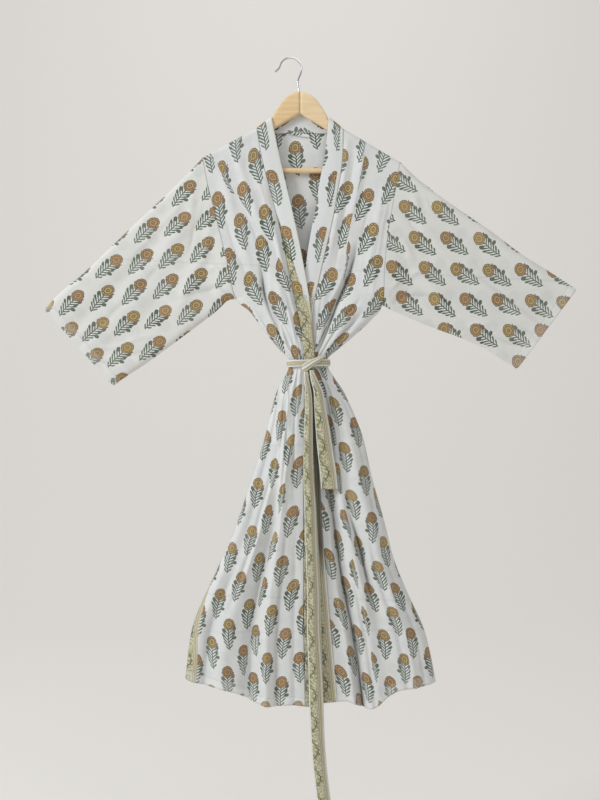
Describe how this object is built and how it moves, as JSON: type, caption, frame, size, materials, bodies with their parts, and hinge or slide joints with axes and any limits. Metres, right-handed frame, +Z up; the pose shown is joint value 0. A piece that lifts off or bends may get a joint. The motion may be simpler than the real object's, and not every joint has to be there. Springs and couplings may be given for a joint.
{
  "type": "kimono robe on a wooden hanger",
  "caption": "Long printed cotton kimono robe with wide sleeves, a knotted sash and a wrapped front, hung flat on a wooden clothes hanger with a steel hook.",
  "frame": {"origin": "highest point inside the bend of the hanger's hook, where a peg or rail carries it", "axes": "+Z up, -Y towards the front of the robe, +X towards the wearer's left sleeve"},
  "size_m": [1.142, 0.0727, 1.7215],
  "materials": {
    "printed_cotton": "matt plain weave with a printed flower",
    "border_cotton": "matt plain weave with a printed vine border",
    "pale_wood": "satin lacquer",
    "paler_wood": "satin lacquer",
    "hook_steel": "polished"
  },
  "bodies": {
    "root": {"back": "printed_cotton", "front_right": "printed_cotton", "front_left": "printed_cotton", "sleeve_right": "printed_cotton", "sleeve_left": "printed_cotton", "neckband": "border_cotton", "belt_wrap": "border_cotton", "belt_knot": "border_cotton", "belt_tail_long": "border_cotton", "belt_tail_short": "border_cotton", "hanging_loop": "printed_cotton", "hanger_arm_right": "pale_wood", "hanger_arm_left": "paler_wood", "hanger_bar": "pale_wood", "hanger_hook": "hook_steel"}
  },
  "joints": []
}
